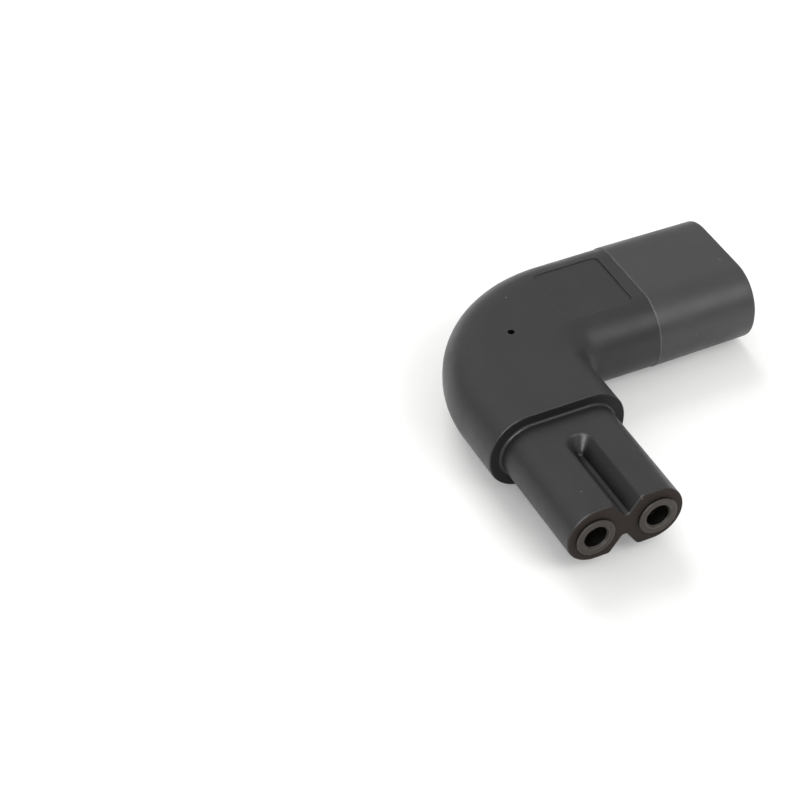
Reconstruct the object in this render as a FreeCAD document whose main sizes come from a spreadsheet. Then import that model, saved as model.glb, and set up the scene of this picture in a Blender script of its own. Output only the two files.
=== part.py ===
import FreeCAD, Part
import os
import Sketcher

# A right-angle adapter lying flat. The figure-eight nose leaves along -Y and the inlet opens
# along +X. The two connector axes cross above the origin, which is on the elbow's flat underside.
# Every piece is drawn about the mid-height of the moulding and then lifted onto the underside.

V = FreeCAD.Vector
START, END, CENTRE = 1, 2, 3
ORIGIN = -1

doc = FreeCAD.newDocument("figure_eight_adapter")
sizes = doc.addObject("Spreadsheet::Sheet", "sizes")

SIZES = (
    # the figure-eight interface
    ("pitch", "8.6"),
    ("pin_diameter", "2.4"),
    # elbow moulding
    ("body_width", "19.1"),
    ("body_height", "11.1"),
    ("body_side", "0.6"),
    ("bend_inner", "1.65"),
    ("nose_leg", "7.85"),
    ("inlet_leg", "9.2"),
    ("mouth_edge", "0.2"),
    # nose with its keying grooves
    ("nose_width", "16.0"),
    ("nose_height", "8.0"),
    ("nose_length", "16.9"),
    ("nose_edge", "0.3"),
    ("nose_root", "0.4"),
    ("groove_width", "3.9"),
    ("groove_floor", "0.6"),
    ("groove_depth", "2.35"),
    ("groove_length", "11.3"),
    ("groove_edge", "0.8"),
    ("groove_root", "0.4"),
    # bare label recess and locating-pin mark on the top
    ("label_length", "9.6"),
    ("label_over", "0.7"),
    ("label_corner", "0.75"),
    ("label_inset", "1.75"),
    ("label_depth", "0.2"),
    ("label_edge", "0.08"),
    ("mark_diameter", "0.95"),
    ("mark_depth", "2.3"),
    ("mark_along", "1.3"),
    ("mark_across", "3.9"),
    # inlet shroud
    ("shroud_proud", "0.1"),
    ("shroud_length", "14.6"),
    ("shroud_draft", "0.15"),
    ("shroud_edge", "0.45"),
    ("shroud_rear_edge", "0.12"),
    ("inlet_clearance", "0.3"),
    ("inlet_depth", "12.0"),
    ("inlet_edge", "0.3"),
    ("rib_setback", "0.8"),
    ("root_length", "4.0"),
    ("flange_thickness", "1.6"),
    ("flange_width", "15.0"),
    ("flange_height", "7.6"),
    ("neck_width", "13.4"),
    ("neck_height", "6.0"),
    # socket insert
    ("insert_set", "0.6"),
    ("bridge_thickness", "2.2"),
    ("tube_outer", "5.3"),
    ("tube_proud", "0.45"),
    ("tube_edge", "0.2"),
    ("entry_diameter", "3.1"),
    ("entry_length", "2.2"),
    ("entry_edge", "0.25"),
    ("chamber_diameter", "3.5"),
    # contact sleeves and the crimp barrels
    ("sleeve_wall", "0.4"),
    ("sleeve_gap", "0.2"),
    ("collar_length", "1.6"),
    ("sleeve_floor", "0.8"),
    ("slit_width", "0.4"),
    ("slit_length", "7.0"),
    ("sleeve_edge", "0.15"),
    ("barrel_diameter", "3.4"),
    ("barrel_length", "4.0"),
    ("barrel_bore", "3.4"),
    # pins
    ("pin_recess", "0.6"),
    ("shank_diameter", "3.0"),
    ("tip_length", "1.3"),
    ("tip_diameter", "1.3"),
    ("tip_edge", "0.3"),
    # leads
    ("core_diameter", "1.2"),
    ("insulation_diameter", "3.0"),
)

DERIVED = (
    ("mid_height", "=body_height / 2"),
    ("body_corner", "=(body_height - body_side) / 2"),
    ("bend_radius", "=body_width / 2 + bend_inner"),
    ("mouth_reach", "=bend_radius + nose_leg"),
    ("parting_reach", "=bend_radius + inlet_leg"),
    ("nose_reach", "=mouth_reach + nose_length"),
    ("nose_top", "=nose_height / 2"),
    ("groove_bottom", "=nose_top - groove_depth"),
    ("groove_over", "=nose_top + 1"),
    ("groove_end", "=nose_reach - groove_length"),
    ("groove_half", "=groove_width / 2"),
    ("groove_floor_half", "=groove_floor / 2"),
    ("shroud_width", "=body_width + 2 * shroud_proud"),
    ("shroud_height", "=body_height + 2 * shroud_proud"),
    ("shroud_corner", "=body_corner + shroud_proud"),
    ("inlet_reach", "=parting_reach + shroud_length"),
    ("inlet_width", "=nose_width + 2 * inlet_clearance"),
    ("inlet_height", "=nose_height + 2 * inlet_clearance"),
    ("inlet_floor", "=inlet_reach - inlet_depth"),
    ("rib_length", "=inlet_depth - rib_setback"),
    ("rib_tip", "=groove_bottom + 2 * inlet_clearance"),
    ("rib_over", "=inlet_height / 2 + 0.5"),
    ("rib_tip_half", "=groove_floor / 2"),
    ("rib_half", "=groove_width / 2 - inlet_clearance"),
    ("root_rear", "=parting_reach - root_length"),
    ("root_through", "=inlet_floor - root_rear"),
    ("insert_rear", "=mouth_reach + insert_set"),
    ("tube_reach", "=nose_reach + tube_proud"),
    ("tube_length", "=tube_reach - insert_rear"),
    ("tube_seat", "=nose_reach - insert_rear"),
    ("bridge_width", "=pitch + tube_outer"),
    ("chamber_length", "=tube_length - entry_length"),
    ("sleeve_reach", "=insert_rear + chamber_length - sleeve_gap"),
    ("sleeve_length", "=chamber_length - sleeve_gap"),
    ("sleeve_depth", "=sleeve_length - collar_length - sleeve_floor"),
    ("sleeve_shoulder", "=sleeve_length - collar_length"),
    ("sleeve_inner", "=pin_diameter / 2"),
    ("sleeve_outer", "=pin_diameter / 2 + sleeve_wall"),
    ("chamber_radius", "=chamber_diameter / 2"),
    ("barrel_radius", "=barrel_diameter / 2"),
    ("core_radius", "=core_diameter / 2"),
    ("contact_length", "=sleeve_length + barrel_length"),
    ("contact_bore", "=contact_length - barrel_bore"),
    ("contact_lead", "=insert_rear - barrel_length"),
    ("contact_core", "=insert_rear - barrel_length + barrel_bore"),
    ("pin_rear", "=root_rear - barrel_length"),
    ("pin_length", "=inlet_reach - pin_recess - pin_rear"),
    ("pin_radius", "=pin_diameter / 2"),
    ("shank_radius", "=shank_diameter / 2"),
    ("pin_foot", "=inlet_floor - pin_rear"),
    ("pin_shoulder", "=pin_length - tip_length"),
    ("tip_radius", "=tip_diameter / 2"),
    ("lead_to_pin", "=pin_rear - bend_radius"),
    ("lead_to_contact", "=contact_lead - bend_radius"),
    ("core_to_pin", "=pin_rear + barrel_bore - bend_radius"),
    ("core_to_contact", "=contact_core - bend_radius"),
    ("label_width", "=body_width - 2 * body_corner + 2 * label_over"),
    ("label_middle", "=parting_reach - label_inset - label_length / 2"),
)

for row, (alias, text) in enumerate(SIZES + DERIVED, start=1):
    sizes.set("A%d" % row, alias)
    sizes.set("B%d" % row, text)
    sizes.setAlias("B%d" % row, alias)
    if row % 20 == 0:
        doc.recompute()
doc.recompute()


def size(alias):
    return float(getattr(sizes, alias))


def new_body(label):
    body = doc.addObject("PartDesign::Body", label)
    body.Label = label
    return body


def lift(body, across=None, along=None):
    # The piece is set at mid-height, and where asked moved along X and Y.
    body.setExpression("Placement.Base.z", "sizes.mid_height")
    if across:
        body.setExpression("Placement.Base.x", across)
    if along:
        body.setExpression("Placement.Base.y", along)


def plane_of(body, role):
    for item in body.Origin.OriginFeatures:
        if item.Role == role:
            return item
    raise RuntimeError("no plane " + role)


def new_sketch(body, role, name, offset=None):
    # XZ sketches look along +Y, so their offset runs out along the nose.
    # YZ sketches look along -X, so their offset runs out along the inlet.
    sketch = body.newObject("Sketcher::SketchObject", name)
    sketch.AttachmentSupport = [(plane_of(body, role), "")]
    sketch.MapMode = "FlatFace"
    if offset:
        sketch.setExpression("AttachmentOffset.Base.z", "sizes." + offset)
    return sketch


def drive(sketch, constraint, name, formula):
    index = sketch.addConstraint(constraint)
    sketch.renameConstraint(index, name)
    sketch.setExpression("Constraints." + name, formula)


def rounded_box(sketch, width, height, corner, middle=None):
    # A rectangle with four equal rounded corners, centred on the sketch or shifted along its x.
    half_w = size(width) / 2
    half_h = size(height) / 2
    r = size(corner)
    shift = size(middle) if middle else 0.0
    inner_w = half_w - r
    inner_h = half_h - r
    flat = (
        (V(shift + inner_w, half_h, 0), V(shift - inner_w, half_h, 0)),
        (V(shift - half_w, inner_h, 0), V(shift - half_w, -inner_h, 0)),
        (V(shift - inner_w, -half_h, 0), V(shift + inner_w, -half_h, 0)),
        (V(shift + half_w, -inner_h, 0), V(shift + half_w, inner_h, 0)),
    )
    corners = (
        (V(shift - inner_w, inner_h, 0), 90),
        (V(shift - inner_w, -inner_h, 0), 180),
        (V(shift + inner_w, -inner_h, 0), 270),
        (V(shift + inner_w, inner_h, 0), 0),
    )
    lines = []
    arcs = []
    for first, last in flat:
        lines.append(sketch.addGeometry(Part.LineSegment(first, last), False))
    for centre, turn in corners:
        circle = Part.Circle(centre, V(0, 0, 1), r)
        low = FreeCAD.Units.Quantity(turn, "deg").getValueAs("rad").Value
        high = FreeCAD.Units.Quantity(turn + 90, "deg").getValueAs("rad").Value
        arcs.append(sketch.addGeometry(Part.ArcOfCircle(circle, low, high), False))
    for n in range(4):
        sketch.addConstraint(Sketcher.Constraint("Tangent", lines[n], END, arcs[n], START))
        sketch.addConstraint(Sketcher.Constraint("Tangent", arcs[n], END, lines[(n + 1) % 4], START))
    sketch.addConstraint(Sketcher.Constraint("Horizontal", lines[0]))
    sketch.addConstraint(Sketcher.Constraint("Vertical", lines[1]))
    sketch.addConstraint(Sketcher.Constraint("Horizontal", lines[2]))
    sketch.addConstraint(Sketcher.Constraint("Vertical", lines[3]))
    sketch.addConstraint(Sketcher.Constraint("Equal", arcs[0], arcs[1]))
    sketch.addConstraint(Sketcher.Constraint("Equal", arcs[0], arcs[2]))
    sketch.addConstraint(Sketcher.Constraint("Equal", arcs[0], arcs[3]))
    point = sketch.addGeometry(Part.Point(V(shift, 0, 0)), True)
    sketch.addConstraint(
        Sketcher.Constraint("Symmetric", arcs[0], CENTRE, arcs[2], CENTRE, point, START))
    sketch.addConstraint(Sketcher.Constraint("PointOnObject", point, START, -1))
    if middle:
        drive(sketch, Sketcher.Constraint("DistanceX", ORIGIN, START, point, START, shift),
              "middle", "sizes." + middle)
    else:
        sketch.addConstraint(Sketcher.Constraint("PointOnObject", point, START, -2))
    drive(sketch, Sketcher.Constraint("Radius", arcs[0], r), "corner", "sizes." + corner)
    drive(sketch, Sketcher.Constraint("DistanceX", arcs[0], CENTRE, arcs[3], CENTRE, 2 * inner_w),
          "span", "sizes.%s - 2 * sizes.%s" % (width, corner))
    drive(sketch, Sketcher.Constraint("DistanceY", arcs[1], CENTRE, arcs[0], CENTRE, 2 * inner_h),
          "rise", "sizes.%s - 2 * sizes.%s" % (height, corner))


def slot(sketch, width, height):
    # A lying slot with fully round ends, centred on the sketch.
    r = size(height) / 2
    reach = size(width) / 2 - r
    quarter = FreeCAD.Units.Quantity(90, "deg").getValueAs("rad").Value
    left = Part.ArcOfCircle(Part.Circle(V(-reach, 0, 0), V(0, 0, 1), r), quarter, 3 * quarter)
    right = Part.ArcOfCircle(Part.Circle(V(reach, 0, 0), V(0, 0, 1), r), -quarter, quarter)
    a = sketch.addGeometry(left, False)
    b = sketch.addGeometry(Part.LineSegment(V(-reach, -r, 0), V(reach, -r, 0)), False)
    c = sketch.addGeometry(right, False)
    d = sketch.addGeometry(Part.LineSegment(V(reach, r, 0), V(-reach, r, 0)), False)
    sketch.addConstraint(Sketcher.Constraint("Tangent", a, END, b, START))
    sketch.addConstraint(Sketcher.Constraint("Tangent", b, END, c, START))
    sketch.addConstraint(Sketcher.Constraint("Tangent", c, END, d, START))
    sketch.addConstraint(Sketcher.Constraint("Tangent", d, END, a, START))
    sketch.addConstraint(Sketcher.Constraint("Equal", a, c))
    sketch.addConstraint(Sketcher.Constraint("Symmetric", a, CENTRE, c, CENTRE, ORIGIN, START))
    sketch.addConstraint(Sketcher.Constraint("PointOnObject", a, CENTRE, -1))
    drive(sketch, Sketcher.Constraint("Radius", a, r), "end", "sizes.%s / 2" % height)
    drive(sketch, Sketcher.Constraint("DistanceX", a, CENTRE, c, CENTRE, 2 * reach),
          "span", "sizes.%s - sizes.%s" % (width, height))


def round_at(sketch, side, diameter, name):
    # A circle on the sketch's x axis, half the contact pitch to the left (-1) or right (1).
    reach = size("pitch") / 2
    circle = Part.Circle(V(side * reach, 0, 0), V(0, 0, 1), size(diameter) / 2)
    index = sketch.addGeometry(circle, False)
    sketch.addConstraint(Sketcher.Constraint("PointOnObject", index, CENTRE, -1))
    if side > 0:
        apart = Sketcher.Constraint("DistanceX", ORIGIN, START, index, CENTRE, reach)
    else:
        apart = Sketcher.Constraint("DistanceX", index, CENTRE, ORIGIN, START, reach)
    drive(sketch, apart, name + "_reach", "sizes.pitch / 2")
    drive(sketch, Sketcher.Constraint("Diameter", index, size(diameter)),
          name + "_diameter", "sizes." + diameter)


def twin_rounds(sketch, diameter):
    round_at(sketch, -1, diameter, "left")
    round_at(sketch, 1, diameter, "right")


def outline(sketch, corners):
    # A closed run of straight lines. Each corner is given by its distances from the two axes.
    points = []
    for across, up in corners:
        points.append(V(size(across) if across else 0.0, size(up) if up else 0.0, 0))
    count = len(points)
    lines = []
    for n in range(count):
        lines.append(sketch.addGeometry(Part.LineSegment(points[n], points[(n + 1) % count]), False))
    for n in range(count):
        sketch.addConstraint(Sketcher.Constraint("Coincident", lines[n], END, lines[(n + 1) % count], START))
    for n, (across, up) in enumerate(corners):
        if across:
            drive(sketch, Sketcher.Constraint("DistanceX", ORIGIN, START, lines[n], START, points[n].x),
                  "across%d" % n, "sizes." + across)
        else:
            sketch.addConstraint(Sketcher.Constraint("PointOnObject", lines[n], START, -2))
        if up:
            drive(sketch, Sketcher.Constraint("DistanceY", ORIGIN, START, lines[n], START, points[n].y),
                  "up%d" % n, "sizes." + up)
        else:
            sketch.addConstraint(Sketcher.Constraint("PointOnObject", lines[n], START, -1))


def wedge(sketch, half_width, tip_half, wide_at, tip_at, over):
    # A V with a narrow flat tip, even about the sketch's y axis. Its wide side runs on past the
    # surface it starts from, with upright sides.
    w = size(half_width)
    t = size(tip_half)
    heights = (size(over), size(wide_at), size(tip_at))
    points = (V(-w, heights[0], 0), V(-w, heights[1], 0), V(-t, heights[2], 0),
              V(t, heights[2], 0), V(w, heights[1], 0), V(w, heights[0], 0))
    lines = []
    for n in range(6):
        lines.append(sketch.addGeometry(Part.LineSegment(points[n], points[(n + 1) % 6]), False))
    for n in range(6):
        sketch.addConstraint(Sketcher.Constraint("Coincident", lines[n], END, lines[(n + 1) % 6], START))
    for n in range(3):
        sketch.addConstraint(Sketcher.Constraint("Symmetric", lines[n], START, lines[5 - n], START, -2))
    sketch.addConstraint(Sketcher.Constraint("Vertical", lines[0]))
    drive(sketch, Sketcher.Constraint("DistanceX", lines[2], START, lines[3], START, 2 * t),
          "tip", "2 * sizes." + tip_half)
    drive(sketch, Sketcher.Constraint("DistanceX", lines[1], START, lines[4], START, 2 * w),
          "wide", "2 * sizes." + half_width)
    drive(sketch, Sketcher.Constraint("DistanceY", ORIGIN, START, lines[2], START, heights[2]),
          "tip_at", "sizes." + tip_at)
    drive(sketch, Sketcher.Constraint("DistanceY", ORIGIN, START, lines[1], START, heights[1]),
          "wide_at", "sizes." + wide_at)
    drive(sketch, Sketcher.Constraint("DistanceY", ORIGIN, START, lines[0], START, heights[0]),
          "over", "sizes." + over)


def bend_axis(sketch):
    # The upright axis about which the elbow and both leads turn.
    reach = size("bend_radius")
    line = sketch.addGeometry(Part.LineSegment(V(-reach, -1, 0), V(-reach, 1, 0)), True)
    sketch.addConstraint(Sketcher.Constraint("Symmetric", line, START, line, END, -1))
    sketch.addConstraint(Sketcher.Constraint("DistanceY", line, START, line, END, 2))
    drive(sketch, Sketcher.Constraint("DistanceX", line, START, ORIGIN, START, reach),
          "axis", "sizes.bend_radius")


def feature(body, kind, name, sketch):
    made = body.newObject("PartDesign::" + kind, name)
    made.Profile = sketch
    sketch.Visibility = False
    return made


def pad(body, name, sketch, length):
    made = feature(body, "Pad", name, sketch)
    made.setExpression("Length", "sizes." + length)
    doc.recompute()
    return made


def cut_checked(body, name, made, before):
    doc.recompute()
    if made.Shape.isNull() or made.Shape.Volume > before - 1e-4:
        raise RuntimeError(body.Label + ": " + name + " removes nothing")
    return made


def pocket(body, name, sketch, length, outward=False):
    # Cuts towards the elbow, or outward along the sketch's own normal.
    before = body.Tip.Shape.Volume
    made = feature(body, "Pocket", name, sketch)
    made.Reversed = outward
    made.setExpression("Length", "sizes." + length)
    return cut_checked(body, name, made, before)


def quarter_turn(body, kind, name, sketch):
    before = body.Tip.Shape.Volume if body.Tip else 0.0
    made = feature(body, kind, name, sketch)
    made.ReferenceAxis = (sketch, ["Axis0"])
    made.Angle = 90
    if kind == "Groove":
        return cut_checked(body, name, made, before)
    doc.recompute()
    return made


def spun(body, name, sketch, axis):
    made = feature(body, "Revolution", name, sketch)
    made.ReferenceAxis = (sketch, [axis])
    made.Angle = 360
    doc.recompute()
    return made


def mirrored(body, name, originals):
    made = body.newObject("PartDesign::Mirrored", name)
    made.Originals = originals
    made.MirrorPlane = (plane_of(body, "XY_Plane"), [""])
    body.Tip = made
    doc.recompute()
    return made


def edges_where(base, wanted):
    found = []
    for n, edge in enumerate(base.Shape.Edges, start=1):
        if wanted(edge.BoundBox):
            found.append("Edge%d" % n)
    if not found:
        raise RuntimeError("no edge found on " + base.Name)
    return found


def soften(body, kind, name, wanted, amount):
    base = body.Tip
    made = body.newObject("PartDesign::" + kind, name)
    made.Base = (base, edges_where(base, wanted))
    made.setExpression("Radius" if kind == "Fillet" else "Size", "sizes." + amount)
    doc.recompute()
    return made


def at_x(value):
    return lambda box: abs(box.XMin - value) < 1e-4 and abs(box.XMax - value) < 1e-4


def at_y(value):
    return lambda box: abs(box.YMin - value) < 1e-4 and abs(box.YMax - value) < 1e-4


def level(box, height):
    # True for an edge lying level at the given height above or below the middle.
    return box.ZLength < 1e-4 and abs(abs(box.ZMin) - size(height)) < 1e-4


def within(test, half_x, half_z):
    return lambda box: (test(box) and max(-box.XMin, box.XMax) < half_x
                        and max(-box.ZMin, box.ZMax) < half_z)


def build_overmould():
    # One soft moulding: the elbow and the figure-eight nose, shot round the finished inner parts.
    body = new_body("overmould_body")
    section = new_sketch(body, "YZ_Plane", "inlet_leg_section", "bend_radius")
    rounded_box(section, "body_width", "body_height", "body_corner")
    pad(body, "inlet_leg", section, "inlet_leg")

    section = new_sketch(body, "YZ_Plane", "bend_section", "bend_radius")
    bend_axis(section)
    rounded_box(section, "body_width", "body_height", "body_corner")
    quarter_turn(body, "Revolution", "bend", section)

    section = new_sketch(body, "XZ_Plane", "nose_leg_section", "bend_radius")
    rounded_box(section, "body_width", "body_height", "body_corner")
    pad(body, "nose_leg", section, "nose_leg")
    soften(body, "Fillet", "mouth_round", at_y(-size("mouth_reach")), "mouth_edge")

    section = new_sketch(body, "XZ_Plane", "nose_section", "mouth_reach")
    slot(section, "nose_width", "nose_height")
    pad(body, "nose", section, "nose_length")
    root_loop = within(at_y(-size("mouth_reach")), size("nose_width") / 2 + 0.01, size("nose_top") + 0.01)
    soften(body, "Fillet", "nose_root_round", root_loop, "nose_root")

    # The keying grooves run in from the front and end in a half cone, on the top and the underside.
    section = new_sketch(body, "XZ_Plane", "groove_section", "nose_reach")
    wedge(section, "groove_half", "groove_floor_half", "nose_top", "groove_bottom", "groove_over")
    groove_run = pocket(body, "groove_run", section, "groove_length")
    section = new_sketch(body, "XY_Plane", "groove_end_section")
    section.AttachmentOffset = FreeCAD.Placement(V(0, 0, 0), FreeCAD.Rotation(V(1, 0, 0), 90))
    section.setExpression("AttachmentOffset.Base.y", "-sizes.groove_end")
    outline(section, (
        (None, "groove_bottom"),
        ("groove_floor_half", "groove_bottom"),
        ("groove_half", "nose_top"),
        ("groove_half", "groove_over"),
        (None, "groove_over"),
    ))
    before = body.Tip.Shape.Volume
    groove_round = feature(body, "Groove", "groove_round", section)
    groove_round.ReferenceAxis = (section, ["V_Axis"])
    groove_round.Angle = 360
    cut_checked(body, "groove_round", groove_round, before)
    mirrored(body, "grooves", [groove_run, groove_round])
    # Their floors and rims are rounded first, so that the front round can follow the whole outline.
    root = size("groove_floor_half") + 0.01
    soften(body, "Fillet", "groove_roots", lambda box: level(box, "groove_bottom") and box.YLength > 1e-4
           and max(-box.XMin, box.XMax) < root, "groove_root")
    rim = size("groove_half") + 0.01
    soften(body, "Fillet", "groove_rims", lambda box: level(box, "nose_top")
           and max(-box.XMin, box.XMax) < rim, "groove_edge")
    soften(body, "Fillet", "nose_front_round", at_y(-size("nose_reach")), "nose_edge")

    # A shallow bare recess beside the parting line and the mark of a locating pin on the bend.
    section = new_sketch(body, "XY_Plane", "label_section", "mid_height")
    rounded_box(section, "label_length", "label_width", "label_corner", "label_middle")
    pocket(body, "label_recess", section, "label_depth")
    floor = size("mid_height") - size("label_depth") + 0.01
    middle = size("label_middle")
    half_x = size("label_length") / 2 + 0.01
    half_y = size("label_width") / 2 + 0.01
    soften(body, "Fillet", "label_rim", lambda box: box.ZMin > floor
           and max(middle - box.XMin, box.XMax - middle) < half_x
           and max(-box.YMin, box.YMax) < half_y, "label_edge")
    section = new_sketch(body, "XY_Plane", "mark_section", "mid_height")
    spot = V(size("mark_along"), -size("mark_across"), 0)
    mark = section.addGeometry(Part.Circle(spot, V(0, 0, 1), size("mark_diameter") / 2), False)
    drive(section, Sketcher.Constraint("DistanceX", ORIGIN, START, mark, CENTRE, spot.x),
          "along", "sizes.mark_along")
    drive(section, Sketcher.Constraint("DistanceY", mark, CENTRE, ORIGIN, START, -spot.y),
          "across", "sizes.mark_across")
    drive(section, Sketcher.Constraint("Diameter", mark, size("mark_diameter")),
          "bore", "sizes.mark_diameter")
    pocket(body, "pin_mark", section, "mark_depth")

    # Room for the socket insert.
    section = new_sketch(body, "XZ_Plane", "tube_seat_section", "nose_reach")
    twin_rounds(section, "tube_outer")
    pocket(body, "tube_seats", section, "tube_seat")
    section = new_sketch(body, "XZ_Plane", "bridge_seat_section", "insert_rear")
    slot(section, "bridge_width", "tube_outer")
    pocket(body, "bridge_seat", section, "bridge_thickness", outward=True)

    # Room for the root of the inlet shroud: a neck that the soft material grips, then a flange.
    section = new_sketch(body, "YZ_Plane", "neck_seat_section", "parting_reach")
    slot(section, "neck_width", "neck_height")
    pocket(body, "neck_seat", section, "root_length")
    section = new_sketch(body, "YZ_Plane", "flange_seat_section", "root_rear")
    slot(section, "flange_width", "flange_height")
    pocket(body, "flange_seat", section, "flange_thickness", outward=True)

    # Room for the crimp barrels at both ends and for the two leads round the bend.
    section = new_sketch(body, "XZ_Plane", "contact_barrel_section", "insert_rear")
    twin_rounds(section, "barrel_diameter")
    pocket(body, "contact_barrel_seats", section, "barrel_length")
    section = new_sketch(body, "YZ_Plane", "pin_barrel_section", "root_rear")
    twin_rounds(section, "barrel_diameter")
    pocket(body, "pin_barrel_seats", section, "barrel_length")
    section = new_sketch(body, "XZ_Plane", "nose_lead_section", "bend_radius")
    twin_rounds(section, "insulation_diameter")
    pocket(body, "nose_lead_seats", section, "lead_to_contact", outward=True)
    section = new_sketch(body, "YZ_Plane", "inlet_lead_section", "bend_radius")
    twin_rounds(section, "insulation_diameter")
    pocket(body, "inlet_lead_seats", section, "lead_to_pin", outward=True)
    section = new_sketch(body, "YZ_Plane", "bend_lead_section", "bend_radius")
    bend_axis(section)
    twin_rounds(section, "insulation_diameter")
    quarter_turn(body, "Groove", "bend_lead_seats", section)
    lift(body)
    return body


def build_shroud():
    # The rigid inlet: an oval tube with a base wall, two keying ribs and a root held by the elbow.
    body = new_body("inlet_shroud")
    section = new_sketch(body, "YZ_Plane", "shroud_section", "parting_reach")
    rounded_box(section, "shroud_width", "shroud_height", "shroud_corner")
    shroud = pad(body, "shroud", section, "shroud_length")
    shroud.setExpression("TaperAngle", "-atan(sizes.shroud_draft / sizes.shroud_length)")
    doc.recompute()
    soften(body, "Fillet", "shroud_mouth_round", at_x(size("inlet_reach")), "shroud_edge")
    soften(body, "Fillet", "shroud_rear_round", at_x(size("parting_reach")), "shroud_rear_edge")

    section = new_sketch(body, "YZ_Plane", "inlet_section", "inlet_reach")
    slot(section, "inlet_width", "inlet_height")
    pocket(body, "inlet", section, "inlet_depth")
    opening = at_x(size("inlet_reach"))
    inner = size("inlet_width") / 2 + 0.01
    soften(body, "Chamfer", "inlet_lead_in",
           lambda box: opening(box) and max(-box.YMin, box.YMax) < inner
           and max(-box.ZMin, box.ZMax) < size("inlet_height") / 2 + 0.01, "inlet_edge")

    section = new_sketch(body, "YZ_Plane", "rib_section", "inlet_floor")
    wedge(section, "rib_half", "rib_tip_half", "nose_top", "rib_tip", "rib_over")
    rib = pad(body, "rib", section, "rib_length")
    mirrored(body, "ribs", [rib])

    section = new_sketch(body, "YZ_Plane", "neck_section", "root_rear")
    slot(section, "neck_width", "neck_height")
    pad(body, "neck", section, "root_length")
    section = new_sketch(body, "YZ_Plane", "flange_section", "root_rear")
    slot(section, "flange_width", "flange_height")
    pad(body, "flange", section, "flange_thickness")

    section = new_sketch(body, "YZ_Plane", "shank_hole_section", "inlet_floor")
    twin_rounds(section, "shank_diameter")
    pocket(body, "shank_holes", section, "root_through")
    lift(body)
    return body


def build_insert():
    # Two rigid tubes joined at the back. Their ends stand proud of the nose as rings.
    body = new_body("socket_insert")
    section = new_sketch(body, "XZ_Plane", "bridge_section", "insert_rear")
    slot(section, "bridge_width", "tube_outer")
    pad(body, "bridge", section, "bridge_thickness")
    section = new_sketch(body, "XZ_Plane", "tube_section", "insert_rear")
    twin_rounds(section, "tube_outer")
    pad(body, "tubes", section, "tube_length")
    soften(body, "Fillet", "tube_front_round", at_y(-size("tube_reach")), "tube_edge")

    section = new_sketch(body, "XZ_Plane", "chamber_section", "insert_rear")
    twin_rounds(section, "chamber_diameter")
    pocket(body, "chambers", section, "chamber_length", outward=True)
    section = new_sketch(body, "XZ_Plane", "entry_section", "tube_reach")
    twin_rounds(section, "entry_diameter")
    pocket(body, "entries", section, "entry_length")
    front = at_y(-size("tube_reach"))
    reach = size("entry_diameter") + 0.01
    soften(body, "Chamfer", "entry_lead_in",
           lambda box: front(box) and box.XLength < reach, "entry_edge")
    lift(body)
    return body


def build_contact(label, side):
    # A slit sleeve that takes a pin, a collar that seats in the insert and a crimp barrel.
    body = new_body(label)
    section = new_sketch(body, "XY_Plane", "contact_section")
    outline(section, (
        ("sleeve_inner", None),
        ("sleeve_outer", None),
        ("sleeve_outer", "sleeve_shoulder"),
        ("chamber_radius", "sleeve_shoulder"),
        ("chamber_radius", "sleeve_length"),
        ("barrel_radius", "sleeve_length"),
        ("barrel_radius", "contact_length"),
        ("core_radius", "contact_length"),
        ("core_radius", "contact_bore"),
        (None, "contact_bore"),
        (None, "sleeve_depth"),
        ("sleeve_inner", "sleeve_depth"),
    ))
    spun(body, "contact", section, "V_Axis")
    reach = 2 * size("sleeve_inner") + 0.01
    soften(body, "Chamfer", "sleeve_lead_in",
           lambda box: at_y(0)(box) and box.XLength < reach, "sleeve_edge")

    section = new_sketch(body, "XY_Plane", "slit_section")
    half = size("slit_width") / 2
    long = size("slit_length")
    corners = (V(-half, 0, 0), V(half, 0, 0), V(half, long, 0), V(-half, long, 0))
    lines = []
    for n in range(4):
        lines.append(section.addGeometry(Part.LineSegment(corners[n], corners[(n + 1) % 4]), False))
    for n in range(4):
        section.addConstraint(Sketcher.Constraint("Coincident", lines[n], END, lines[(n + 1) % 4], START))
    section.addConstraint(Sketcher.Constraint("Symmetric", lines[0], START, lines[0], END, ORIGIN, START))
    section.addConstraint(Sketcher.Constraint("PointOnObject", lines[0], START, -1))
    section.addConstraint(Sketcher.Constraint("Vertical", lines[1]))
    section.addConstraint(Sketcher.Constraint("Vertical", lines[3]))
    section.addConstraint(Sketcher.Constraint("Horizontal", lines[2]))
    drive(section, Sketcher.Constraint("DistanceX", lines[0], START, lines[0], END, 2 * half),
          "gap", "sizes.slit_width")
    drive(section, Sketcher.Constraint("DistanceY", lines[1], START, lines[1], END, long),
          "run", "sizes.slit_length")
    before = body.Tip.Shape.Volume
    slits = feature(body, "Pocket", "slits", section)
    slits.Midplane = True
    slits.setExpression("Length", "sizes.tube_outer")
    cut_checked(body, "slits", slits, before)
    lift(body, "%d * sizes.pitch / 2" % side, "-sizes.sleeve_reach")
    return body


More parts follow.
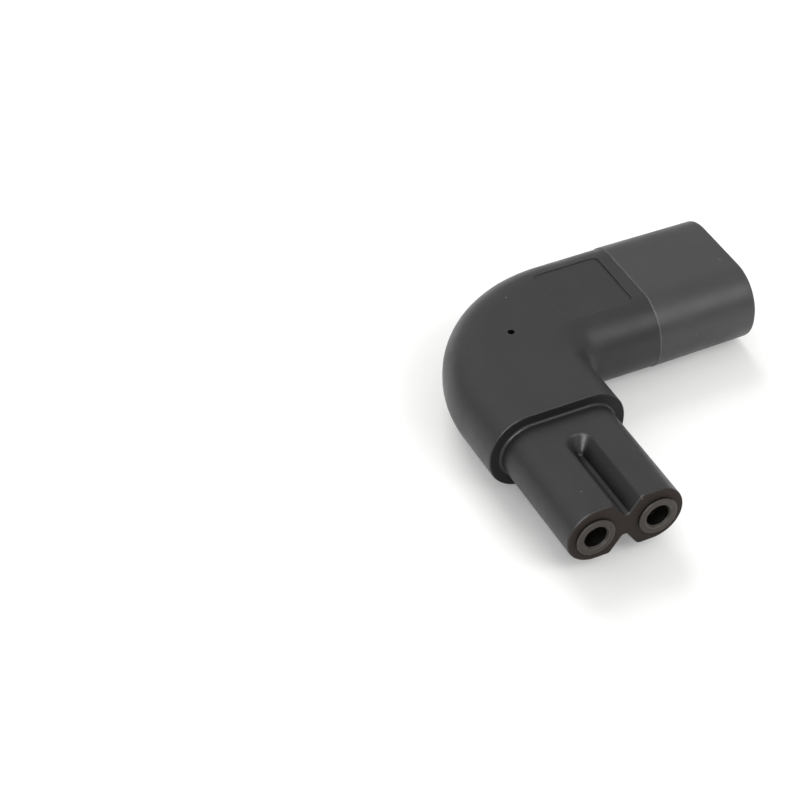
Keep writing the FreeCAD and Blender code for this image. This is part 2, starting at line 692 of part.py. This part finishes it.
def build_pin(label, side):
    # A turned pin with a tapered tip. Its thicker shank is pressed through the base wall up to the
    # crimp barrel and ends flush with the inlet's floor.
    body = new_body(label)
    section = new_sketch(body, "XY_Plane", "pin_section")
    outline(section, (
        (None, "core_radius"),
        (None, "barrel_radius"),
        ("barrel_length", "barrel_radius"),
        ("barrel_length", "shank_radius"),
        ("pin_foot", "shank_radius"),
        ("pin_foot", "pin_radius"),
        ("pin_shoulder", "pin_radius"),
        ("pin_length", "tip_radius"),
        ("pin_length", None),
        ("barrel_bore", None),
        ("barrel_bore", "core_radius"),
    ))
    spun(body, "pin", section, "H_Axis")
    tip = at_x(size("pin_length"))
    shoulder = at_x(size("pin_shoulder"))
    soften(body, "Fillet", "tip_round", lambda box: tip(box) or shoulder(box), "tip_edge")
    lift(body, "sizes.pin_rear", "%d * sizes.pitch / 2" % side)
    return body


def build_lead_piece(label, side, diameters, to_pin, to_contact):
    # One lead round the bend: straight to the pin, a quarter turn, straight to the contact.
    # On the outer side of the bend it lies left of the nose axis and above the inlet axis.
    body = new_body(label)
    section = new_sketch(body, "YZ_Plane", "pin_end_section", "bend_radius")
    for n, diameter in enumerate(diameters):
        round_at(section, side, diameter, "round%d" % n)
    pad(body, "pin_end", section, to_pin)
    section = new_sketch(body, "YZ_Plane", "turn_section", "bend_radius")
    bend_axis(section)
    for n, diameter in enumerate(diameters):
        round_at(section, side, diameter, "round%d" % n)
    quarter_turn(body, "Revolution", "turn", section)
    section = new_sketch(body, "XZ_Plane", "contact_end_section", "bend_radius")
    for n, diameter in enumerate(diameters):
        round_at(section, -side, diameter, "round%d" % n)
    pad(body, "contact_end", section, to_contact)
    lift(body)
    return body


OUTER = 1
INNER = -1
pieces = [build_overmould(), build_shroud(), build_insert()]
for name, side in (("outer", OUTER), ("inner", INNER)):
    pieces.append(build_contact("contact_" + name, -side))
    pieces.append(build_pin("pin_" + name, side))
    pieces.append(build_lead_piece("wire_" + name, side, ("core_diameter",),
                                   "core_to_pin", "core_to_contact"))
    pieces.append(build_lead_piece("insulation_" + name, side, ("insulation_diameter", "core_diameter"),
                                   "lead_to_pin", "lead_to_contact"))
doc.recompute()

for item in doc.Objects:
    if "Invalid" in item.State or "Error" in item.State:
        raise RuntimeError(item.Label + " failed: " + ", ".join(item.State))
    if item.TypeId == "Sketcher::SketchObject" and not item.FullyConstrained:
        raise RuntimeError(item.Label + " is not fully constrained")
for piece in pieces:
    if piece.Shape.isNull() or not piece.Shape.isValid() or len(piece.Shape.Solids) != 1:
        raise RuntimeError(piece.Label + " is not one sound solid")

os.makedirs("parts", exist_ok=True)
for piece in pieces:
    piece.Shape.exportStep("parts/" + piece.Label + ".step")
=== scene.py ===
import math

import bpy
from mathutils import Matrix, Vector


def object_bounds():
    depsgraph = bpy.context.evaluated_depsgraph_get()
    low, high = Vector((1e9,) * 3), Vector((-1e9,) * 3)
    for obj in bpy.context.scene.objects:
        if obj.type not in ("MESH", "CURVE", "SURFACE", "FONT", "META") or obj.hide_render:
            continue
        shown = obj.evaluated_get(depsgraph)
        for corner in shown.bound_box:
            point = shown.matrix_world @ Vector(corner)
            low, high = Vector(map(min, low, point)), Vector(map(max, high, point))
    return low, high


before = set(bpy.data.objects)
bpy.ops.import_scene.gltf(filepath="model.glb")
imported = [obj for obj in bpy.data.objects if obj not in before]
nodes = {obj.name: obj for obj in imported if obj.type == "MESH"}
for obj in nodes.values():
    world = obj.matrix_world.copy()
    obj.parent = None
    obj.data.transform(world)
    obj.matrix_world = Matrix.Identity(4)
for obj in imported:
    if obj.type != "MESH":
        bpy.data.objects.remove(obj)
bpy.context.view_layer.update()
scene = bpy.context.scene
scene.view_settings.view_transform = "Standard"

MM = 0.001
WHITE = (1, 1, 1, 1)

# Camera: the view of the photograph, with the connector where it is there. Angles are in degrees.
# The view was fitted with the connector's underside a little above the floor.
IMAGE_SIZE = 800.0
FOCAL_PIXELS = 2598.3
SENSOR_WIDTH = 36.0
AZIMUTH = -27.0
ELEVATION = 41.32
ROLL = 0.96
ORIGIN_IN_VIEW = Vector((11.067, -2.151, 339.37)) * MM
UNDERSIDE_OVER_FLOOR = 0.15 * MM
CLIP_NEAR = 0.01
CLIP_FAR = 20.0

# Where the elbow's mouth face stands, and where the nose and the rings at its front end.
MOUTH_Y = -19.05 * MM
NOSE_Y = -35.95 * MM
RINGS_Y = -36.4 * MM

# Zones along Y where shade is painted: the nose's front face, which also gets a painted brown
# reflection, the mouth's face, and the bores behind the rings' faces.
FRONT_ZONE = (NOSE_Y + 0.2 * MM, NOSE_Y + 0.05 * MM)
MOUTH_WITHIN = 0.03 * MM
BORE_ZONE = (RINGS_Y + 0.12 * MM, RINGS_Y + 0.3 * MM)

# Moulded plastic: sizes of its patterns in millimetres, and what they change.
SHADE_MM = 7.0
GLOSS_MM = 3.2
GLOSS_BELOW = 0.05
GLOSS_ABOVE = 0.06
# Edges are lightened partly as wear and partly as a painted highlight.
EDGE_PATCH_MM = 2.2
EDGE_WEAR_AND_HIGHLIGHT_MM = 0.2
SWELL_MM = 2.6
SWELL_DEPTH_MM = 0.012
RECESS_REACH_MM = 2.5
DULL_ROUGHNESS = 0.7
# Painted shade and a painted brown reflection on the nose's front face.
FRONT_PAINTED_REFLECTION = (0.0115, 0.0045, 0.001)
# Painted shade on the mouth's step face and in grooves and inner corners.
RECESS_PAINTED_SHADE = (0.001, 0.001, 0.0013)
# Painted shade inside the bores behind the rings.
BORE_PAINTED_SHADE = (0.002, 0.002, 0.002)
DUST_COLOR = (0.22, 0.22, 0.21)
DUST_APART_MM = 4.0
DUST_RADIUS_MM = 0.09
DUST_COVER = 0.7

# Metal: sizes in millimetres, and how the marks run on drawn and on turned pieces.
TARNISH_MM = 1.8
TARNISH_MOST = 0.8
MARKS_MM = 0.9
MARKS_DEPTH_MM = 0.0001
MARKS_BELOW = 0.03
MARKS_ABOVE = 0.05
DRAWN_ALONG_Y = (1.0, 0.06, 1.0)
TURNED_ABOUT_X = (8.0, 0.4, 0.4)

# Floor: half its side and its gap under the connector, in metres, and its own glow.
FLOOR_REACH = 3.0
FLOOR_GAP = 0.00002
FLOOR_SHADE_MM = 40.0
FLOOR_GLOW = 0.2

# Sky: its strength at the horizon and above, and the height at which it has grown to that.
SKY_HORIZON = 0.35
SKY_ABOVE = 0.66
SKY_GROWN_AT = 0.6

# Lamps: name, place and size in millimetres, watts, and the rays that pass each by, if any.
# They look at the middle of the connector. The two front left lamps are only seen as highlights.
AIM_MM = (10, -10, 4)
LAMPS = (
    ("overhead_box", (60, 450, 430), (350, 350), 2.0, "visible_glossy"),
    ("front_right_box", (150, -270, 280), (220, 220), 0.55, None),
    ("front_left_window", (-158, -203, 369), (150, 150), 1.3, "visible_diffuse"),
    ("front_left_strip", (-333, -317, 243), (150, 90), 1.8, "visible_diffuse"),
    ("left_back_box", (-260, 300, 330), (400, 400), 0.26, None),
)


def add_camera():
    turn = math.radians(AZIMUTH)
    tilt = math.radians(ELEVATION)
    roll = math.radians(ROLL)
    right = Vector((math.cos(turn), math.sin(turn), 0))
    level = Vector((-math.sin(turn), math.cos(turn), 0))
    ahead = level * math.cos(tilt) - Vector((0, 0, math.sin(tilt)))
    down = ahead.cross(right)
    rolled_right = right * math.cos(roll) - down * math.sin(roll)
    rolled_down = right * math.sin(roll) + down * math.cos(roll)
    across, below, away = ORIGIN_IN_VIEW
    place = -(rolled_right * across + rolled_down * below + ahead * away)
    place.z -= UNDERSIDE_OVER_FLOOR
    data = bpy.data.cameras.new("camera")
    data.sensor_fit = "HORIZONTAL"
    data.sensor_width = SENSOR_WIDTH
    data.lens = FOCAL_PIXELS / IMAGE_SIZE * SENSOR_WIDTH
    data.clip_start = CLIP_NEAR
    data.clip_end = CLIP_FAR
    camera = bpy.data.objects.new("camera", data)
    turned = Matrix((rolled_right, -rolled_down, -ahead)).transposed()
    camera.matrix_world = Matrix.Translation(place) @ turned.to_4x4()
    scene.collection.objects.link(camera)
    scene.camera = camera


class Graph:
    """A node material that is written step by step."""

    def __init__(self, name):
        self.material = bpy.data.materials.new(name)
        self.material.use_nodes = True
        self.tree = self.material.node_tree
        self.tree.nodes.clear()
        self.out = self.add("ShaderNodeOutputMaterial")
        self.where = self.add("ShaderNodeTexCoord").outputs["Object"]

    def add(self, kind, **values):
        node = self.tree.nodes.new(kind)
        for key, value in values.items():
            setattr(node, key, value)
        return node

    def link(self, a, b):
        self.tree.links.new(a, b)

    def surface(self, color, roughness, metallic=0.0, specular=0.5):
        shader = self.add("ShaderNodeBsdfPrincipled")
        shader.inputs["Base Color"].default_value = (*color, 1)
        shader.inputs["Roughness"].default_value = roughness
        shader.inputs["Metallic"].default_value = metallic
        shader.inputs["Specular IOR Level"].default_value = specular
        self.link(shader.outputs["BSDF"], self.out.inputs["Surface"])
        return shader

    def noise(self, size_mm, detail=3.0, rough=0.55, stretch=None):
        """Noise whose features are about size_mm across."""
        node = self.add("ShaderNodeTexNoise")
        node.inputs["Scale"].default_value = 1.0 / (size_mm * MM)
        node.inputs["Detail"].default_value = detail
        node.inputs["Roughness"].default_value = rough
        source = self.where
        if stretch:
            mapping = self.add("ShaderNodeMapping")
            mapping.inputs["Scale"].default_value = stretch
            self.link(source, mapping.inputs["Vector"])
            source = mapping.outputs["Vector"]
        self.link(source, node.inputs["Vector"])
        return node.outputs["Fac"]

    def along_y(self):
        """How far along Y a point of the piece is."""
        apart = self.add("ShaderNodeSeparateXYZ")
        self.link(self.where, apart.inputs["Vector"])
        return apart.outputs["Y"]

    def spread(self, source, low, high, at=(0.3, 0.7)):
        """From low to high as source goes over the range at, and level beyond it."""
        node = self.add("ShaderNodeMapRange")
        node.inputs["From Min"].default_value = at[0]
        node.inputs["From Max"].default_value = at[1]
        node.inputs["To Min"].default_value = low
        node.inputs["To Max"].default_value = high
        self.link(source, node.inputs["Value"])
        return node.outputs["Result"]

    def math(self, operation, *values):
        """An operation on numbers and sockets."""
        node = self.add("ShaderNodeMath", operation=operation)
        for value, socket in zip(values, node.inputs):
            if isinstance(value, float):
                socket.default_value = value
            else:
                self.link(value, socket)
        return node.outputs["Value"]

    def blend(self, fac, a, b):
        """Colour a turning into colour b as fac rises."""
        node = self.add("ShaderNodeMix", data_type="RGBA")
        self.link(fac, node.inputs["Factor"])
        # Sockets 6 and 7 take the colours and output 2 gives one; the others are for other data types.
        for value, socket in ((a, node.inputs[6]), (b, node.inputs[7])):
            if isinstance(value, tuple):
                socket.default_value = (*value, 1)
            else:
                self.link(value, socket)
        return node.outputs[2]

    def edges(self, radius_mm):
        """About 1 along sharp edges and small rounds, 0 elsewhere."""
        soft = self.add("ShaderNodeBevel", samples=4)
        soft.inputs["Radius"].default_value = radius_mm * MM
        plain = self.add("ShaderNodeNewGeometry")
        dot = self.add("ShaderNodeVectorMath", operation="DOT_PRODUCT")
        self.link(soft.outputs["Normal"], dot.inputs[0])
        self.link(plain.outputs["Normal"], dot.inputs[1])
        return self.spread(dot.outputs["Value"], 0.0, 1.0, at=(0.995, 0.93))

    def recesses(self, reach_mm):
        """1 deep in grooves and inner corners, 0 on open surfaces; it masks painted shade."""
        node = self.add("ShaderNodeAmbientOcclusion", samples=8, only_local=True)
        node.inputs["Distance"].default_value = reach_mm * MM
        return self.spread(node.outputs["AO"], 1.0, 0.0, at=(0.42, 0.85))

    def dust(self):
        """A few small specks over the whole piece."""
        cells = self.add("ShaderNodeTexVoronoi")
        cells.inputs["Scale"].default_value = 1.0 / (DUST_APART_MM * MM)
        self.link(self.where, cells.inputs["Vector"])
        radius = DUST_RADIUS_MM / DUST_APART_MM
        rim = (0.6 * radius, 1.4 * radius)
        return self.spread(cells.outputs["Distance"], DUST_COVER, 0.0, at=rim)

    def bump(self, shader, source, depth_mm):
        """Adds relief to the shader, on top of any it has."""
        node = self.add("ShaderNodeBump")
        node.inputs["Strength"].default_value = 1.0
        node.inputs["Distance"].default_value = depth_mm * MM
        self.link(source, node.inputs["Height"])
        before = shader.inputs["Normal"].links
        if before:
            self.link(before[0].from_socket, node.inputs["Normal"])
        self.link(node.outputs["Normal"], shader.inputs["Normal"])


def moulded(name, color, lighter, wear_and_highlight, roughness, grain_mm, grain_depth_mm, edge_patches=(0.1, 0.9),
            specular=0.5, painted_shade_and_dull=False, painted_bore_shade=False):
    """Moulded plastic: random tone and gloss changes, edges lightened partly as wear and partly as a
    painted highlight, a fine skin grain and a little dust; on request painted shade on the front face,
    mouth step, recesses and bores.
    """
    g = Graph(name)
    shader = g.surface(color, roughness, specular=specular)
    tone = g.blend(g.spread(g.noise(SHADE_MM, detail=4.0), 0.0, 1.0), color, lighter)
    # Rubbed edges, made lighter partly as wear and partly as a painted highlight.
    patchy = g.spread(g.noise(EDGE_PATCH_MM, detail=4.0), *edge_patches)
    rubbed_and_highlit = g.math("MULTIPLY", g.edges(EDGE_WEAR_AND_HIGHLIGHT_MM), patchy)
    gloss = g.spread(g.noise(GLOSS_MM, detail=5.0, rough=0.6),
                     roughness - GLOSS_BELOW, roughness + GLOSS_ABOVE)
    if painted_shade_and_dull:
        # Painted shade and a painted brown reflection on the nose's front face.
        front = g.spread(g.along_y(), 0.0, 1.0, at=FRONT_ZONE)
        tone = g.blend(front, tone, FRONT_PAINTED_REFLECTION)
        # Painted shade on the mouth's step face and, where nearby surfaces shut a point in, in grooves
        # and inner corners.
        step = g.math("COMPARE", g.along_y(), MOUTH_Y, MOUTH_WITHIN)
        shaded_zone = g.math("MAXIMUM", step, g.recesses(RECESS_REACH_MM))
        tone = g.blend(shaded_zone, tone, RECESS_PAINTED_SHADE)
        dull = g.spread(g.math("MAXIMUM", front, step), 0.0, DULL_ROUGHNESS, at=(0.0, 1.0))
        gloss = g.math("MAXIMUM", gloss, dull)
    if painted_bore_shade:
        # Painted shade inside the bores behind the rings.
        inside = g.spread(g.along_y(), 0.0, 1.0, at=BORE_ZONE)
        tone = g.blend(inside, tone, BORE_PAINTED_SHADE)
    tone = g.blend(rubbed_and_highlit, tone, wear_and_highlight)
    tone = g.blend(g.dust(), tone, DUST_COLOR)
    g.link(tone, shader.inputs["Base Color"])
    g.link(gloss, shader.inputs["Roughness"])
    g.bump(shader, g.noise(grain_mm, detail=2.0), grain_depth_mm)
    g.bump(shader, g.noise(SWELL_MM, detail=2.0), SWELL_DEPTH_MM)
    return g.material


def metal(name, color, darker, roughness, stretch):
    """Drawn or turned metal: fine marks, stretched the way they run, and a slight tarnish."""
    g = Graph(name)
    shader = g.surface(color, roughness, metallic=1.0)
    tarnish = g.spread(g.noise(TARNISH_MM, detail=4.0), 0.0, TARNISH_MOST)
    g.link(g.blend(tarnish, color, darker), shader.inputs["Base Color"])
    marks = g.noise(MARKS_MM, detail=3.0, stretch=stretch)
    gloss = g.spread(marks, roughness - MARKS_BELOW, roughness + MARKS_ABOVE)
    g.link(gloss, shader.inputs["Roughness"])
    g.bump(shader, marks, MARKS_DEPTH_MM)
    return g.material


def paint(names, material):
    for name in names:
        node = nodes[name]
        node.data.materials.clear()
        node.data.materials.append(material)


def add_materials():
    paint(["overmould_body"], moulded(
        "soft_moulding", color=(0.028, 0.028, 0.0285), lighter=(0.032, 0.032, 0.0325),
        wear_and_highlight=(0.07, 0.07, 0.07), roughness=0.4, grain_mm=0.12, grain_depth_mm=0.002,
        specular=0.33, painted_shade_and_dull=True))
    # The shroud's light rims are partly wear and partly a painted highlight.
    paint(["inlet_shroud"], moulded(
        "rigid_shroud", color=(0.037, 0.037, 0.038), lighter=(0.043, 0.043, 0.044),
        wear_and_highlight=(0.26, 0.26, 0.26), roughness=0.43, grain_mm=0.09, grain_depth_mm=0.002,
        edge_patches=(0.5, 1.0)))
    paint(["socket_insert"], moulded(
        "insert_plastic", color=(0.04, 0.032, 0.026), lighter=(0.054, 0.045, 0.038),
        wear_and_highlight=(0.16, 0.145, 0.13), roughness=0.42, grain_mm=0.1, grain_depth_mm=0.002,
        specular=0.25, painted_bore_shade=True))
    paint(["contact_outer", "contact_inner"], metal(
        "contact_metal", color=(0.66, 0.47, 0.2), darker=(0.4, 0.26, 0.1),
        roughness=0.32, stretch=DRAWN_ALONG_Y))
    paint(["pin_outer", "pin_inner"], metal(
        "pin_metal", color=(0.74, 0.69, 0.58), darker=(0.64, 0.57, 0.44),
        roughness=0.36, stretch=TURNED_ABOUT_X))
    paint(["wire_outer", "wire_inner"], metal(
        "conductor", color=(0.72, 0.38, 0.22), darker=(0.5, 0.22, 0.11),
        roughness=0.35, stretch=DRAWN_ALONG_Y))
    paint(["insulation_outer"], moulded(
        "insulation_brown", color=(0.1, 0.045, 0.02), lighter=(0.14, 0.065, 0.03),
        wear_and_highlight=(0.2, 0.11, 0.06), roughness=0.4, grain_mm=0.15, grain_depth_mm=0.004))
    paint(["insulation_inner"], moulded(
        "insulation_blue", color=(0.02, 0.06, 0.24), lighter=(0.03, 0.08, 0.3),
        wear_and_highlight=(0.08, 0.16, 0.4), roughness=0.4, grain_mm=0.15, grain_depth_mm=0.004))


def add_floor():
    """A wide pale floor, white to the camera away from the object's shadow."""
    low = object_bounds()[0]
    reach = FLOOR_REACH
    mesh = bpy.data.meshes.new("floor")
    corners = [(-reach, -reach, 0), (reach, -reach, 0), (reach, reach, 0), (-reach, reach, 0)]
    mesh.from_pydata(corners, [], [(0, 1, 2, 3)])
    floor = bpy.data.objects.new("floor", mesh)
    floor.location.z = low[2] - FLOOR_GAP
    scene.collection.objects.link(floor)
    g = Graph("pale_floor")
    shader = g.surface((0.82, 0.82, 0.81), 0.8, specular=0.1)
    shade = g.spread(g.noise(FLOOR_SHADE_MM), 0.0, 1.0)
    g.link(g.blend(shade, (0.8, 0.8, 0.79), (0.84, 0.84, 0.83)), shader.inputs["Base Color"])
    path = g.add("ShaderNodeLightPath").outputs
    seen = g.math("MAXIMUM", path["Is Camera Ray"], path["Is Glossy Ray"])
    seen = g.math("MAXIMUM", seen, path["Is Transmission Ray"])
    shader.inputs["Emission Color"].default_value = WHITE
    g.link(g.math("MULTIPLY", seen, FLOOR_GLOW), shader.inputs["Emission Strength"])
    mesh.materials.append(g.material)


def add_sky():
    """A white sky that is dimmer near the horizon."""
    world = bpy.data.worlds.new("studio")
    world.use_nodes = True
    tree = world.node_tree
    sky = tree.nodes["Background"]
    sky.inputs["Color"].default_value = WHITE
    facing = tree.nodes.new("ShaderNodeTexCoord")
    apart = tree.nodes.new("ShaderNodeSeparateXYZ")
    rise = tree.nodes.new("ShaderNodeMapRange")
    rise.inputs["From Min"].default_value = 0.0
    rise.inputs["From Max"].default_value = SKY_GROWN_AT
    rise.inputs["To Min"].default_value = SKY_HORIZON
    rise.inputs["To Max"].default_value = SKY_ABOVE
    tree.links.new(facing.outputs["Generated"], apart.inputs["Vector"])
    tree.links.new(apart.outputs["Z"], rise.inputs["Value"])
    tree.links.new(rise.outputs["Result"], sky.inputs["Strength"])
    scene.world = world


def add_lamps():
    """A broad lamp from behind, soft boxes at the front right and back left, two highlights."""
    for name, place_mm, size_mm, power, passed_by in LAMPS:
        data = bpy.data.lights.new(name, "AREA")
        data.shape = "RECTANGLE"
        data.size = size_mm[0] * MM
        data.size_y = size_mm[1] * MM
        data.energy = power
        lamp = bpy.data.objects.new(name, data)
        place = Vector(place_mm) * MM
        look = Vector(AIM_MM) * MM - place
        turned = look.to_track_quat("-Z", "Y").to_matrix().to_4x4()
        lamp.matrix_world = Matrix.Translation(place) @ turned
        if passed_by:
            setattr(lamp, passed_by, False)
        scene.collection.objects.link(lamp)


add_camera()
add_materials()
add_floor()
add_sky()
add_lamps()
